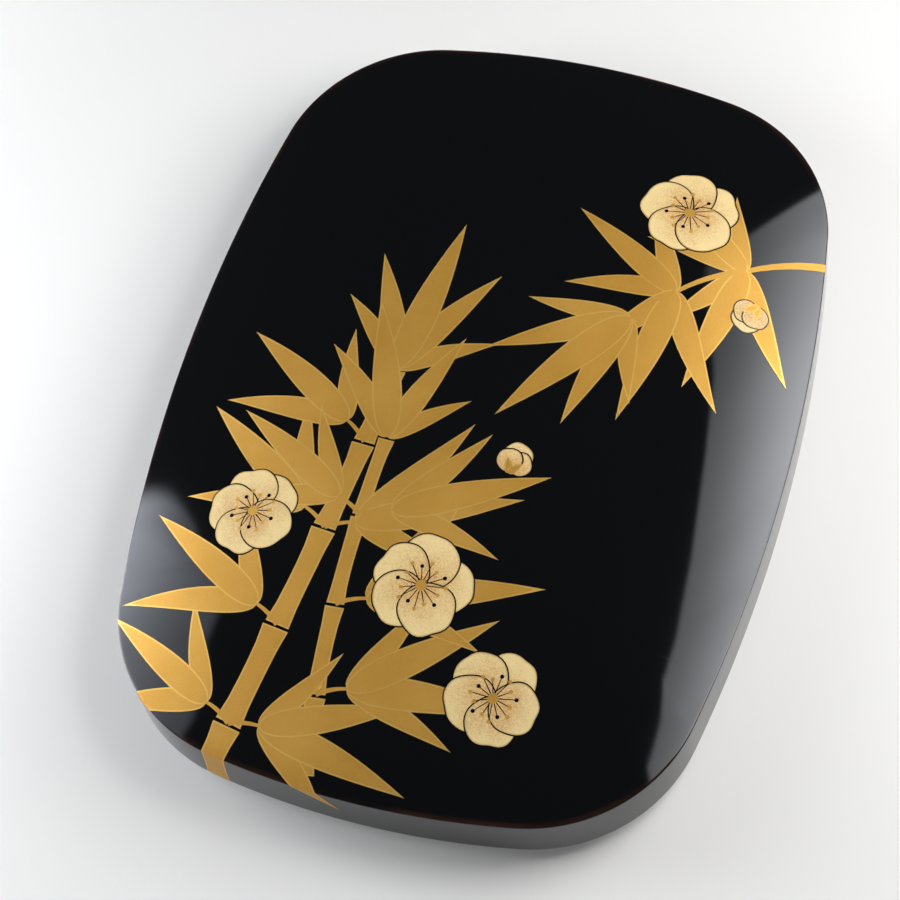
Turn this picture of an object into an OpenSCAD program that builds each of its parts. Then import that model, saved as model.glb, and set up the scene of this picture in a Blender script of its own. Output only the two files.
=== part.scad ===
// Lacquered writing box: a domed lid that overlaps a shallow body, and the fitted things it holds.
// The origin is the middle of the underside. X runs across the box, Y along it and Z up, in millimetres.

/* [Lid outline] */
// Length of the lid across its bulged ends
lid_l = 248; // [230:1:270]
// Radius of the bulge along each long side
side_r = 475; // [380:5:700]
// Radius of the bulge along each end
end_r = 248; // [200:4:340]
// Radius of the four corners
corner_r = 49; // [40:1:58]

/* [Lid] */
// Height of the lid's upright wall, from its lower edge to the sharp edge round the top
lid_skirt = 17; // [13:0.5:22]
// Rise of the dome above that edge
lid_rise = 16; // [10:0.5:22]
// Share of the dome's fall that gathers near the edge
dome_edge = 0.4; // [0.1:0.05:0.7]
// Thickness of the lid's wall
lid_wall = 4; // [3:0.25:5]
// Thickness of the lid at its crown
lid_crown = 4; // [3:0.25:6]
// Thickness of the lid over the body's rim
lid_edge = 3; // [2:0.25:4]
// Rounding of the sharp edge
lid_arris = 0.5; // [0.2:0.1:1]
// Bevel of the lid's lower edge
lid_bevel = 0.3; // [0.1:0.1:0.6]

/* [Body] */
// Height of the body that shows below the lid
body_show = 7; // [5:0.5:10]
// Thickness of the body's wall
body_wall = 4; // [3:0.25:5]
// Thickness of the body's floor
body_floor = 2.8; // [2:0.1:4]
// Height of the foot under the body
foot_h = 1.4; // [0.8:0.1:2]
// Width of the foot
foot_w = 7; // [4:0.5:12]
// Step from the body's wall in to the foot
foot_step = 1; // [0.5:0.1:2]
// Gap between the lid's wall and the body
lid_gap = 0.5; // [0.3:0.1:1]

/* [Fitted board] */
// Width of the board left beside the inkstone's pocket
board_margin = 3.6; // [2.5:0.1:6]
// Thickness of the board
board_t = 7; // [6:0.5:8]
// Depth of the board's pockets
pocket_depth = 4; // [3:0.5:5]
// Gap round what stands in a pocket
pocket_gap = 0.4; // [0.2:0.1:0.6]
// Gap between the board, the trays and the body's wall
fit_gap = 0.4; // [0.3:0.1:0.8]
// Radius of the finger scoop at the end of the inkstone's pocket
scoop_r = 9; // [7:0.5:11]

/* [Inkstone] */
// Width of the inkstone
stone_w = 70; // [60:1:72]
// Length of the inkstone
stone_l = 120; // [100:1:126]
// Height of the inkstone
stone_h = 13; // [10:0.5:14]
// Radius of the inkstone's corners
stone_r = 6; // [3:0.5:10]
// Distance from the board's near end to the inkstone
stone_end_gap = 14; // [10:0.5:18]
// Width of the rim round the inkstone's top
stone_rim = 4.5; // [3:0.5:7]
// Depth of the grinding ground below the rim
ground_depth = 1.4; // [0.8:0.1:2.5]
// Depth of the ink well below the rim
well_depth = 8; // [5:0.5:9]
// Length of the well's flat bottom
well_l = 14; // [8:1:20]
// Length of the slope from the ground down to the well
slope_l = 22; // [14:1:30]

/* [Water dropper] */
// Diameter of the water dropper
dropper_d = 36; // [30:1:40]
// Height of the dropper's vessel without its top
dropper_h = 12; // [9:0.5:13]
// Thickness of the dropper's metal
dropper_wall = 1; // [0.8:0.1:1.5]
// Swell of the dropper's side
dropper_swell = 1.4; // [0.5:0.1:2.5]
// Rise of the dropper's top
dropper_rise = 2.4; // [1.5:0.1:3.5]
// Diameter of the air hole and of the pouring hole
drop_hole_d = 2; // [1.5:0.1:3]
// Distance from the air hole to the pouring hole
drop_hole_gap = 11; // [8:0.5:12]
// Distance from the board's far end to the dropper
dropper_end_gap = 22; // [14:0.5:28]

/* [Trays] */
// Width of each tray across its middle, outside its walls
tray_w = 42.7; // [40:0.1:48]
// Height of the trays
tray_h = 13.5; // [11:0.5:14.5]
// Thickness of the trays' walls
tray_wall = 2.2; // [1.6:0.1:3]
// Thickness of the trays' floors
tray_floor = 2; // [1.5:0.1:2.5]
// Thickness of the rests across the trays
rest_t = 3; // [2:0.5:4]
// Distance from a handle's end to the rest under it
rest_inset = 18; // [14:1:22]
// Gap between a handle and its notch
notch_gap = 0.3; // [0.2:0.05:0.5]
// Gap between neighbours in a tray
item_gap = 1.5; // [1:0.1:2]
// Gap under what hangs free between the rests
under_gap = 0.5; // [0.3:0.1:0.8]
// Distance from a brush's end to the tray's wall
end_gap = 5; // [4:0.5:8]
// Radius of the finger notch in each tray's inner wall
finger_r = 11; // [8:0.5:14]
// Depth of the finger notch
finger_depth = 5; // [3:0.5:7]

/* [Large brush] */
// Diameter of the large brush's bamboo handle
large_shaft_d = 8.4; // [7:0.2:9]
// Length of the handle
large_shaft_l = 110; // [100:1:116]
// Diameter of the horn collar
large_collar_d = 9.4; // [9:0.2:10]
// Length of the collar
large_collar_l = 6; // [5:0.5:8]
// Diameter of the hair where it leaves the collar
large_hair_d = 7.4; // [6:0.2:7.8]
// Length of the hair outside the collar
large_hair_l = 28; // [22:1:30]
// Diameter of the cap
large_cap_d = 13; // [12.4:0.2:14]
// Length of the horn plug at the tail
large_end_l = 5; // [4:0.5:7]

/* [Small brush] */
// Diameter of the small brush's bamboo handle
small_shaft_d = 6.2; // [5:0.2:6.6]
// Length of the handle
small_shaft_l = 96; // [86:1:104]
// Diameter of the horn collar
small_collar_d = 7.2; // [6.8:0.2:7.8]
// Length of the collar
small_collar_l = 5; // [4:0.5:6]
// Diameter of the hair where it leaves the collar
small_hair_d = 5.4; // [4:0.2:5.8]
// Length of the hair outside the collar
small_hair_l = 22; // [18:1:25]
// Diameter of the cap
small_cap_d = 10.6; // [10.2:0.2:11.6]
// Length of the horn plug at the tail
small_end_l = 4; // [3:0.5:6]

/* [Both brushes] */
// Depth of the hair's root in the collar
root_l = 3; // [2:0.5:3.5]
// Gap round the hair's root
root_gap = 0.1; // [0.05:0.05:0.2]
// Gap between a collar and the cap's bore
cap_gap = 0.4; // [0.3:0.1:0.6]
// Space beyond the hair's tip inside the cap
tip_space = 1.5; // [1:0.25:3]
// Thickness of the cap's closed end
cap_end = 2.5; // [1.5:0.25:4]
// Height of the ring at each joint of the bamboo
bamboo_ring = 0.35; // [0.2:0.05:0.5]
// Gap between the bamboo's joint rings
bamboo_pitch = 42; // [30:1:60]

/* [Ink stick] */
// Width of the ink stick
ink_w = 16; // [13:0.5:17]
// Length of the ink stick
ink_l = 84; // [70:1:90]
// Thickness of the ink stick
ink_t = 8; // [6:0.5:9]
// Radius of the ink stick's corners
ink_r = 2.5; // [1:0.5:4]
// Depth of the sunk panel on the ink stick's face
panel_depth = 0.4; // [0.2:0.1:0.8]
// Width of the border round that panel
panel_border = 2.5; // [1.5:0.5:4]
// Gap between the ink stick and the rests beside it
ink_gap = 0.5; // [0.3:0.1:0.8]

/* [Ink stick holder] */
// Diameter of the closed holder
holder_d = 10; // [8:0.5:10.5]
// Length of the holder
holder_l = 104; // [96:1:108]
// Width of the slot between the holder's jaws
slot_w = 2.4; // [1.5:0.1:3.5]
// Length of the slot
slot_l = 62; // [50:1:70]
// Outer diameter of the sliding ring
ring_d = 13; // [12.6:0.2:13.6]
// Length of the ring
ring_l = 7; // [5:0.5:9]
// Gap between the ring and the jaws
ring_gap = 0.3; // [0.2:0.05:0.5]
// Travel of the ring along the jaws
ring_travel = 40; // [30:1:44]

/* [Hidden] */

$fn = 96;
cut = 1; // how far a cutting shape runs past the face that it opens
black_lacquer = "#121214";
tray_lacquer = "#1b1718";
bamboo = "#b98d4f";
horn = "#2b2420";

// Heights
floor_z = foot_h + body_floor;
arris_z = body_show + lid_skirt;
seat_z = arris_z - lid_edge;
pocket_z = floor_z + board_t - pocket_depth;
tray_floor_z = floor_z + tray_floor;
brush_z = tray_floor_z + large_cap_d / 2 + under_gap;
holder_z = tray_floor_z + ring_d / 2 + under_gap;

// Insets from the lid's outline
body_inset = lid_wall + lid_gap;
inner_inset = body_inset + body_wall;
fitted_inset = inner_inset + fit_gap;
tray_inner_inset = fitted_inset + tray_wall;

// The box is as wide as the board and the two trays that it was made for
board_w = stone_w + 2 * (pocket_gap + board_margin);
lid_w = board_w + 2 * (fit_gap + tray_w + fitted_inset);

// The lid's outline is eight arcs: a wide one on each side and end, and a corner arc that is
// tangent to both of its neighbours. Insets keep the centres and shorten the radii.
side_cx = lid_w / 2 - side_r;
end_cy = lid_l / 2 - end_r;
side_reach = side_r - corner_r;
end_reach = end_r - corner_r;
centre_span = norm([side_cx, end_cy]);
centre_dir = [-side_cx, end_cy] / centre_span;
foot_of_corner = (side_reach * side_reach - end_reach * end_reach + centre_span * centre_span)
    / (2 * centre_span);
corner_off = sqrt(side_reach * side_reach - foot_of_corner * foot_of_corner);
corner_c = [side_cx, 0] + foot_of_corner * centre_dir + corner_off * [-centre_dir.y, centre_dir.x];
side_angle = atan2(corner_c.y, corner_c.x - side_cx);
end_angle = atan2(corner_c.y - end_cy, corner_c.x);

// Places across the box
tray_edge_x = board_w / 2 + fit_gap;
tray_inner_x = tray_edge_x + tray_wall;
large_x = -(tray_inner_x + item_gap + large_cap_d / 2);
small_x = large_x - large_cap_d / 2 - item_gap - small_cap_d / 2;
ink_x = tray_inner_x + item_gap + ink_w / 2;
holder_x = ink_x + ink_w / 2 + item_gap + ring_d / 2;

// Places along the box
board_end_y = lid_l / 2 - fitted_inset;
stone_y = stone_end_gap + stone_l / 2 - board_end_y;
dropper_y = board_end_y - dropper_end_gap - dropper_d / 2;
large_tail_y = end_gap - outline_y(abs(large_x) + large_cap_d / 2, tray_inner_inset);
small_tail_y = end_gap - outline_y(abs(small_x) + small_cap_d / 2, tray_inner_inset);
small_shaft_y = small_tail_y + small_end_l;
brush_rests = [small_shaft_y + rest_inset, small_shaft_y + small_shaft_l - rest_inset];
holder_rests = [rest_inset - holder_l / 2, holder_l / 2 - rest_inset];
ring_y = -(ring_travel + ring_l) / 2;

// Y of an inset outline at x, on the end arc or the corner arc
function outline_y(x, inset) =
    let (join = (end_r - inset) * cos(end_angle))
    x < join
        ? end_cy + sqrt(pow(end_r - inset, 2) - x * x)
        : corner_c.y + sqrt(max(0, pow(corner_r - inset, 2) - pow(x - corner_c.x, 2)));

function arc_points(centre, r, from, to, steps) =
    [for (i = [0 : steps - 1]) let (a = from + (to - from) * i / steps) centre + r * [cos(a), sin(a)]];

// A quarter of the outline, from the +X side up to the +Y end
function quarter_points(inset) = concat(
    arc_points([side_cx, 0], side_r - inset, 0, side_angle, 7),
    arc_points(corner_c, corner_r - inset, side_angle, end_angle, 16),
    arc_points([0, end_cy], end_r - inset, end_angle, 90, 7)
);

function outline_points(inset) =
    let (
        quarter = quarter_points(inset),
        mirrored = [for (i = [len(quarter) - 1 : -1 : 1]) [-quarter[i].x, quarter[i].y]],
        half = concat(quarter, [[0, lid_l / 2 - inset]], mirrored)
    )
    concat(half, -half);

function level(inset, z) = [for (p = outline_points(inset)) [p.x, p.y, z]];

// Height of the dome at the share s of the way out, from 1 at the crown to 0 at the edge
function dome(s) = 1 - (1 - dome_edge) * pow(s, 2) - dome_edge * pow(s, 4);

// A ring of the dome: an ellipse near the crown that turns into the outline at the edge
function dome_ring(inset, base_z, rise, s) =
    let (a = lid_w / 2 - inset, b = lid_l / 2 - inset, z = base_z + rise * dome(s))
    [for (p = outline_points(inset))
        let (
            dir = p / norm(p),
            on_ellipse = dir / norm([dir.x / a, dir.y / b]),
            q = s * ((1 - s * s) * on_ellipse + s * s * p)
        )
        [q.x, q.y, z]];

module outline(inset) {
    polygon(outline_points(inset));
}

module slab(inset, from_z, to_z) {
    translate([0, 0, from_z]) linear_extrude(to_z - from_z) outline(inset);
}

module rounded_rect(w, l, r) {
    square([w - 2 * r, l], center = true);
    square([w, l - 2 * r], center = true);
    for (x = [-1, 1], y = [-1, 1])
        translate([x * (w / 2 - r), y * (l / 2 - r)]) circle(r);
}

// Lays a shape that is turned about Z down along +Y
module along_y(x, y, z) {
    translate([x, y, z]) rotate([-90, 0, 0]) children();
}

module body_shell() {
    color(black_lacquer) difference() {
        union() {
            slab(body_inset, foot_h, seat_z);
            slab(body_inset + foot_step, 0, foot_h + cut);
        }
        slab(inner_inset, floor_z, seat_z + cut);
        slab(body_inset + foot_step + foot_w, -cut, foot_h);
    }
}

// The lid is one lofted skin: the dome, round the sharp edge, down the wall, under its lower edge,
// up inside, over the flat ring that rests on the body's rim, and up into the hollow of the dome
module lid_shell() {
    outer_steps = 11;
    inner_steps = 7;
    rings = concat(
        [for (i = [1 : outer_steps])
            dome_ring(lid_arris, arris_z, lid_rise, sin(90 * i / outer_steps))],
        [
            level(lid_arris * 0.3, arris_z - lid_arris * 0.3),
            level(0, arris_z - lid_arris),
            level(0, body_show + lid_bevel),
            level(lid_bevel, body_show),
            level(lid_wall - lid_bevel, body_show),
            level(lid_wall, body_show + lid_bevel),
            level(lid_wall, seat_z)
        ],
        [for (i = [inner_steps : -1 : 1])
            dome_ring(inner_inset, seat_z, arris_z + lid_rise - lid_crown - seat_z,
                sin(90 * i / inner_steps))]
    );
    n = len(rings[0]);
    crown = [0, 0, arris_z + lid_rise];
    hollow = [0, 0, arris_z + lid_rise - lid_crown];
    points = concat([crown], [for (ring = rings) each ring], [hollow]);
    last = 1 + (len(rings) - 1) * n;
    faces = concat(
        [for (i = [0 : n - 1]) [0, 1 + (i + 1) % n, 1 + i]],
        [for (j = [0 : len(rings) - 2], i = [0 : n - 1])
            let (a = 1 + j * n + i, b = 1 + j * n + (i + 1) % n)
            each [[a, b, b + n], [a, b + n, a + n]]],
        [for (i = [0 : n - 1]) [last + i, last + (i + 1) % n, len(points) - 1]]
    );
    color(black_lacquer) polyhedron(points, faces, convexity = 4);
}

module inkstone_board() {
    color(tray_lacquer) difference() {
        intersection() {
            slab(fitted_inset, floor_z, floor_z + board_t);
            translate([-board_w / 2, -lid_l / 2, 0]) cube([board_w, lid_l, arris_z]);
        }
        translate([0, stone_y, pocket_z]) linear_extrude(board_t)
            rounded_rect(stone_w + 2 * pocket_gap, stone_l + 2 * pocket_gap, stone_r + pocket_gap);
        translate([0, stone_y + stone_l / 2, pocket_z]) cylinder(h = board_t, r = scoop_r);
        translate([0, dropper_y, pocket_z]) cylinder(h = board_t, d = dropper_d + 2 * pocket_gap);
    }
}

// Side view of what is cut out of the inkstone, with y from its middle and z from its underside:
// the level ground, a slope that dips in a shallow arc, and the flat bottom of the well
module well_profile() {
    top = stone_h;
    end_y = stone_l / 2 - stone_rim;
    slope_y = end_y - well_l - slope_l;
    steps = 8;
    polygon(concat(
        [[-end_y, top + cut], [-end_y, top - ground_depth]],
        [for (i = [0 : steps])
            let (t = i / steps)
            [slope_y + slope_l * t,
             top - ground_depth - (well_depth - ground_depth) * (1 - cos(180 * t)) / 2]],
        [[end_y, top - well_depth], [end_y, top + cut]]
    ));
}

module inkstone() {
    color("#34363a") translate([0, stone_y, pocket_z]) difference() {
        linear_extrude(stone_h) rounded_rect(stone_w, stone_l, stone_r);
        intersection() {
            translate([0, 0, stone_h - well_depth]) linear_extrude(well_depth + cut)
                rounded_rect(stone_w - 2 * stone_rim, stone_l - 2 * stone_rim, stone_r - 1);
            rotate([90, 0, 90]) linear_extrude(stone_w, center = true) well_profile();
        }
    }
}

// Half section of the dropper's side, inset by the metal's thickness for its inside
module dropper_section(inset) {
    steps = 8;
    r = dropper_d / 2 - dropper_swell - inset;
    polygon(concat(
        [[0, inset]],
        [for (i = [0 : steps])
            let (t = i / steps)
            [r + dropper_swell * sin(180 * t), inset + (dropper_h - inset) * t]],
        [[0, dropper_h]]
    ));
}

module dropper_body() {
    color("#7c6a4d") translate([0, dropper_y, pocket_z]) rotate_extrude() difference() {
        dropper_section(0);
        union() {
            dropper_section(dropper_wall);
            translate([0, dropper_h - cut]) square([dropper_d / 2 - dropper_swell - dropper_wall, 2 * cut]);
        }
    }
}

module dropper_top() {
    r = dropper_d / 2 - dropper_swell;
    cap_r = (r * r + dropper_rise * dropper_rise) / (2 * dropper_rise);
    color("#7c6a4d") translate([0, dropper_y, pocket_z + dropper_h]) difference() {
        intersection() {
            translate([0, 0, dropper_rise + dropper_wall - cap_r]) sphere(cap_r);
            cylinder(h = dropper_rise + dropper_wall, r = r);
        }
        for (y = [0, drop_hole_gap])
            translate([0, y, -cut]) cylinder(h = dropper_rise + dropper_wall + 2 * cut, d = drop_hole_d);
        translate([0, 0, dropper_rise - cap_r]) sphere(cap_r);
    }
}

// A tray for the side that mirrored names: 0 for -X, 1 for +X
module tray(mirrored) {
    mirror([mirrored, 0, 0]) difference() {
        intersection() {
            slab(fitted_inset, floor_z, floor_z + tray_h);
            translate([-lid_w / 2, -lid_l / 2, 0]) cube([lid_w / 2 - tray_edge_x, lid_l, arris_z]);
        }
        intersection() {
            slab(tray_inner_inset, tray_floor_z, floor_z + tray_h + cut);
            translate([-lid_w / 2, -lid_l / 2, 0]) cube([lid_w / 2 - tray_inner_x, lid_l, arris_z]);
        }
        translate([-tray_edge_x - tray_wall - cut, 0, floor_z + tray_h + finger_r - finger_depth])
            rotate([0, 90, 0]) cylinder(h = tray_wall + 2 * cut, r = finger_r);
    }
}

// Rests that cross a tray on the +X side, from its floor up to the handles' axis
module rests(places, axis_z) {
    intersection() {
        slab(fitted_inset + tray_wall / 2, floor_z + tray_floor / 2, axis_z);
        for (y = places)
            translate([tray_edge_x + tray_wall / 2, y - rest_t / 2, 0])
                cube([lid_w / 2, rest_t, axis_z]);
    }
}

module brush_tray() {
    color(tray_lacquer) union() {
        tray(0);
        difference() {
            mirror([1, 0, 0]) rests(brush_rests, brush_z);
            along_y(large_x, -lid_l / 2, brush_z) cylinder(h = lid_l, d = large_shaft_d + 2 * notch_gap);
            along_y(small_x, -lid_l / 2, brush_z) cylinder(h = lid_l, d = small_shaft_d + 2 * notch_gap);
        }
    }
}

module tool_tray() {
    color(tray_lacquer) union() {
        tray(1);
        difference() {
            rests(holder_rests, holder_z);
            along_y(holder_x, -lid_l / 2, holder_z) cylinder(h = lid_l, d = holder_d + 2 * notch_gap);
            translate([ink_x - ink_w / 2 - ink_gap, -lid_l / 2, tray_floor_z])
                cube([ink_w + 2 * ink_gap, lid_l, arris_z]);
        }
    }
}

// A bamboo handle along Z with a low ring at each of the cane's joints
module bamboo_handle(d, l) {
    color(bamboo) {
        cylinder(h = l, d = d);
        for (z = [bamboo_pitch / 2 : bamboo_pitch : l - bamboo_pitch / 4])
            translate([0, 0, z]) rotate_extrude()
                polygon([[0, -2], [d / 2, -2], [d / 2 + bamboo_ring, -0.5],
                    [d / 2 + bamboo_ring, 0.5], [d / 2, 2], [0, 2]]);
    }
}

// The collar flares to its middle and has a socket for the hair's root
module collar(d, shaft_d, l, hair_d) {
    color(horn) difference() {
        rotate_extrude() polygon([[0, 0], [shaft_d / 2, 0], [d / 2, l * 0.3], [d / 2, l * 0.7],
            [(d + hair_d) / 4, l], [0, l]]);
        translate([0, 0, l - root_l]) cylinder(h = root_l + cut, d = hair_d + 2 * root_gap);
    }
}

// The hair swells a little past the collar and draws in to a point
module hair(d, l) {
    steps = 12;
    color("#d9c9a8") rotate_extrude() polygon(concat(
        [[0, -root_l], [d / 2, -root_l]],
        [for (i = [0 : steps])
            let (t = i / steps)
            [d / 2 * (1 - pow(t, 2.4)) * (1 + 0.15 * sin(180 * t)), l * t]]
    ));
}

// The tail plug is turned from horn, with a neck behind a rounded end
module end_plug(d, l) {
    color(horn) {
        cylinder(h = l - d / 2, d = d);
        translate([0, 0, l - d / 2]) intersection() {
            sphere(d = d);
            cylinder(h = d, d = 2 * d);
        }
    }
}

module cap(d, collar_d, collar_l, hair_l) {
    depth = collar_l + hair_l + tip_space;
    color(bamboo) difference() {
        union() {
            cylinder(h = depth + cap_end - 1, d = d);
            translate([0, 0, depth + cap_end - 1]) cylinder(h = 1, d1 = d, d2 = d - 2);
        }
        translate([0, 0, -cut]) cylinder(h = depth + cut, d = collar_d + 2 * cap_gap);
    }
}

large_shaft_y = large_tail_y + large_end_l;

module large_brush_end() {
    translate([large_x, large_shaft_y, brush_z]) rotate([90, 0, 0]) end_plug(large_shaft_d, large_end_l);
}
module large_brush_shaft() {
    along_y(large_x, large_shaft_y, brush_z) bamboo_handle(large_shaft_d, large_shaft_l);
}
module large_brush_collar() {
    along_y(large_x, large_shaft_y + large_shaft_l, brush_z)
        collar(large_collar_d, large_shaft_d, large_collar_l, large_hair_d);
}
module large_brush_hair() {
    along_y(large_x, large_shaft_y + large_shaft_l + large_collar_l, brush_z)
        hair(large_hair_d, large_hair_l);
}
module large_brush_cap() {
    along_y(large_x, large_shaft_y + large_shaft_l, brush_z)
        cap(large_cap_d, large_collar_d, large_collar_l, large_hair_l);
}

module small_brush_end() {
    translate([small_x, small_shaft_y, brush_z]) rotate([90, 0, 0]) end_plug(small_shaft_d, small_end_l);
}
module small_brush_shaft() {
    along_y(small_x, small_shaft_y, brush_z) bamboo_handle(small_shaft_d, small_shaft_l);
}
module small_brush_collar() {
    along_y(small_x, small_shaft_y + small_shaft_l, brush_z)
        collar(small_collar_d, small_shaft_d, small_collar_l, small_hair_d);
}
module small_brush_hair() {
    along_y(small_x, small_shaft_y + small_shaft_l + small_collar_l, brush_z)
        hair(small_hair_d, small_hair_l);
}
module small_brush_cap() {
    along_y(small_x, small_shaft_y + small_shaft_l, brush_z)
        cap(small_cap_d, small_collar_d, small_collar_l, small_hair_l);
}

module ink_stick() {
    color("#1e1d20") translate([ink_x, 0, tray_floor_z]) difference() {
        linear_extrude(ink_t) rounded_rect(ink_w, ink_l, ink_r);
        translate([0, 0, ink_t - panel_depth]) linear_extrude(panel_depth + cut)
            rounded_rect(ink_w - 2 * panel_border, ink_l - 2 * panel_border, ink_r);
    }
}

// One half of the split holder: the halves meet along the butt and part at the slot
module jaw(side) {
    color(bamboo) along_y(holder_x, -holder_l / 2, holder_z) difference() {
        cylinder(h = holder_l, d = holder_d);
        translate([side > 0 ? -holder_d : 0, -holder_d, -cut])
            cube([holder_d, 2 * holder_d, holder_l + 2 * cut]);
        translate([-slot_w / 2, -holder_d, holder_l - slot_l])
            cube([slot_w, 2 * holder_d, slot_l + cut]);
    }
}
module holder_left_jaw() { jaw(-1); }
module holder_right_jaw() { jaw(1); }

module holder_ring() {
    color(horn) along_y(holder_x, ring_y, holder_z) difference() {
        cylinder(h = ring_l, d = ring_d);
        translate([0, 0, -cut]) cylinder(h = ring_l + 2 * cut, d = holder_d + 2 * ring_gap);
    }
}

body_shell();
lid_shell();
inkstone_board();
inkstone();
dropper_body();
dropper_top();
brush_tray();
tool_tray();
large_brush_shaft();
large_brush_collar();
large_brush_hair();
large_brush_end();
large_brush_cap();
small_brush_shaft();
small_brush_collar();
small_brush_hair();
small_brush_end();
small_brush_cap();
ink_stick();
holder_left_jaw();
holder_right_jaw();
holder_ring();
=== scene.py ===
import math
import random

import bmesh
import bpy
from mathutils import Matrix, Vector
from mathutils.geometry import delaunay_2d_cdt


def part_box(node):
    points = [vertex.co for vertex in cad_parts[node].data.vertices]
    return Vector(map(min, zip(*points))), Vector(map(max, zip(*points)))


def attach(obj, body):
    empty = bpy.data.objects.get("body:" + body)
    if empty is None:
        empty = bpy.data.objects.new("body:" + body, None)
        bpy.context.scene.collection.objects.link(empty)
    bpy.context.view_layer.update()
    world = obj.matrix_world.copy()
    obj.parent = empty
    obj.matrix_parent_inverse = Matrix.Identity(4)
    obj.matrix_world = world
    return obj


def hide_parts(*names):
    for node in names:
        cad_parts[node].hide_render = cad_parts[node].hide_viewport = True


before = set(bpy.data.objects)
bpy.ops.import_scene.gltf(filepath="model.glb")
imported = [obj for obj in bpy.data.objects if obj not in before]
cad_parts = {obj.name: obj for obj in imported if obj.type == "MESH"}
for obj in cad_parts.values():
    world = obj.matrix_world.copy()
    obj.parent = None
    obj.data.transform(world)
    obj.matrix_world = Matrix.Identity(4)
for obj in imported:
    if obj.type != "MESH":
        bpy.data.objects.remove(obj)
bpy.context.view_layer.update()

MM = 0.001

# ---------------------------------------------------------------------------------------------
# The body: a shallow tray of thin cypress boards bent and lapped to eight arcs, then built up
# with coats of black urushi. Only its foot and a few millimetres of wall show below the lid.
# Inside it is lacquered too, and its flat rim carries the lid.


def linear(hex_colour):
    """An sRGB hex colour as the linear values that shaders work in."""
    channels = [int(hex_colour[i:i + 2], 16) / 255 for i in (1, 3, 5)]
    return [c / 12.92 if c < 0.04045 else ((c + 0.055) / 1.055) ** 2.4 for c in channels] + [1.0]


def add(material, kind, settings=None, **inputs):
    """Adds a node. An input is named by its label, with _ for a space, or by its place as in2. A
    node that is given to an input stands for its first output."""
    tree = material.node_tree
    made = tree.nodes.new("ShaderNode" + kind)
    for name, value in (settings or {}).items():
        setattr(made, name, value)
    for name, value in inputs.items():
        place = int(name[2:]) if name[:2] == "in" and name[2:].isdigit() else name.replace("_", " ")
        if isinstance(value, bpy.types.Node):
            value = value.outputs[0]
        if isinstance(value, bpy.types.NodeSocket):
            tree.links.new(value, made.inputs[place])
        else:
            made.inputs[place].default_value = value
    return made


# Settings that many nodes share
MULTIPLY = {"operation": "MULTIPLY"}
RGBA = {"data_type": "RGBA"}
SMOOTHSTEP = {"interpolation_type": "SMOOTHSTEP"}


def new_material(name, **values):
    """A material with its Principled shader's own sockets set."""
    material = bpy.data.materials.new(name)
    material.use_nodes = True
    shader = material.node_tree.nodes["Principled BSDF"]
    for label, value in values.items():
        shader.inputs[label.replace("_", " ")].default_value = value
    return material, shader


def feed(material, shader, **inputs):
    """Links nodes or their outputs to a shader's inputs, named by label with _ for a space."""
    for label, value in inputs.items():
        socket = value.outputs[0] if isinstance(value, bpy.types.Node) else value
        material.node_tree.links.new(socket, shader.inputs[label.replace("_", " ")])


def black_urushi(name, roughness, worn_z=None):
    """Roiro, black urushi rubbed to a mirror with charcoal and deer-horn ash. The eye sees a deep
    black with a sharp reflection, hairline polishing marks, and brown where an edge has rubbed."""
    material, shader = new_material(name, Roughness=roughness, IOR=1.54,
                                    Specular_Tint=(0.935, 0.955, 1.0, 1.0))
    place = add(material, "TexCoord").outputs["Object"]
    # Polishing marks: hairs about 0.2 mm wide and 60 mm long, in two directions
    hairs = []
    for turn, seed in ((0.35, 0.0), (-0.9, 7.3)):
        lay = add(material, "Mapping", in0=place, in1=(0, 0, seed), in2=(0, 0, turn), in3=(16, 700, 16))
        streak = add(material, "TexNoise", Vector=lay, Scale=1.0, Detail=1.0)
        hairs.append(add(material, "MapRange", Value=streak, in1=0.735, in2=0.79, in3=0.0, in4=0.09))
    marks = add(material, "Math", {"operation": "ADD"}, in0=hairs[0], in1=hairs[1])
    # Handling: patches some 50 mm across are a touch less sharp
    patches = add(material, "TexNoise", Vector=place, Scale=20.0, Detail=2.0)
    softer = add(material, "MapRange", Value=patches, in1=0.4, in2=0.8,
                 in3=roughness, in4=roughness + 0.02)
    rough = add(material, "Math", {"operation": "ADD"}, in0=softer, in1=marks)
    feed(material, shader, Roughness=rough)
    # Dust: specks of a quarter of a millimetre, one to every few square centimetres
    cells = add(material, "TexVoronoi", Vector=place, Scale=95.0)
    speck = add(material, "MapRange", Value=cells.outputs["Distance"], in1=0.010, in2=0.016,
                in3=1.0, in4=0.0)
    chance = add(material, "SeparateColor", Color=cells.outputs["Color"])
    some = add(material, "MapRange", Value=chance, in1=0.74, in2=0.8)
    dust = add(material, "Math", MULTIPLY, in0=speck, in1=some)
    dusty = add(material, "Mix", RGBA, in0=dust, in6=linear("#08090b"), in7=linear("#a8a39a"))
    feed(material, shader, Base_Color=dusty.outputs[2])
    if worn_z is not None:
        height = add(material, "SeparateXYZ", Vector=place).outputs["Z"]
        off = add(material, "Math", {"operation": "SUBTRACT"}, in0=height, in1=worn_z)
        away = add(material, "Math", {"operation": "ABSOLUTE"}, in0=off)
        near = add(material, "MapRange", Value=away, in1=0.1 * MM, in2=0.5 * MM, in3=0.8, in4=0.0)
        rubbed = add(material, "TexNoise", Vector=place, Scale=45.0, Detail=3.0)
        uneven = add(material, "MapRange", Value=rubbed, in1=0.35, in2=0.7)
        amount = add(material, "Math", MULTIPLY, in0=near, in1=uneven)
        tint = add(material, "Mix", RGBA, in0=amount, in6=dusty.outputs[2], in7=linear("#3a2118"))
        feed(material, shader, Base_Color=tint.outputs[2])
    return material


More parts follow.
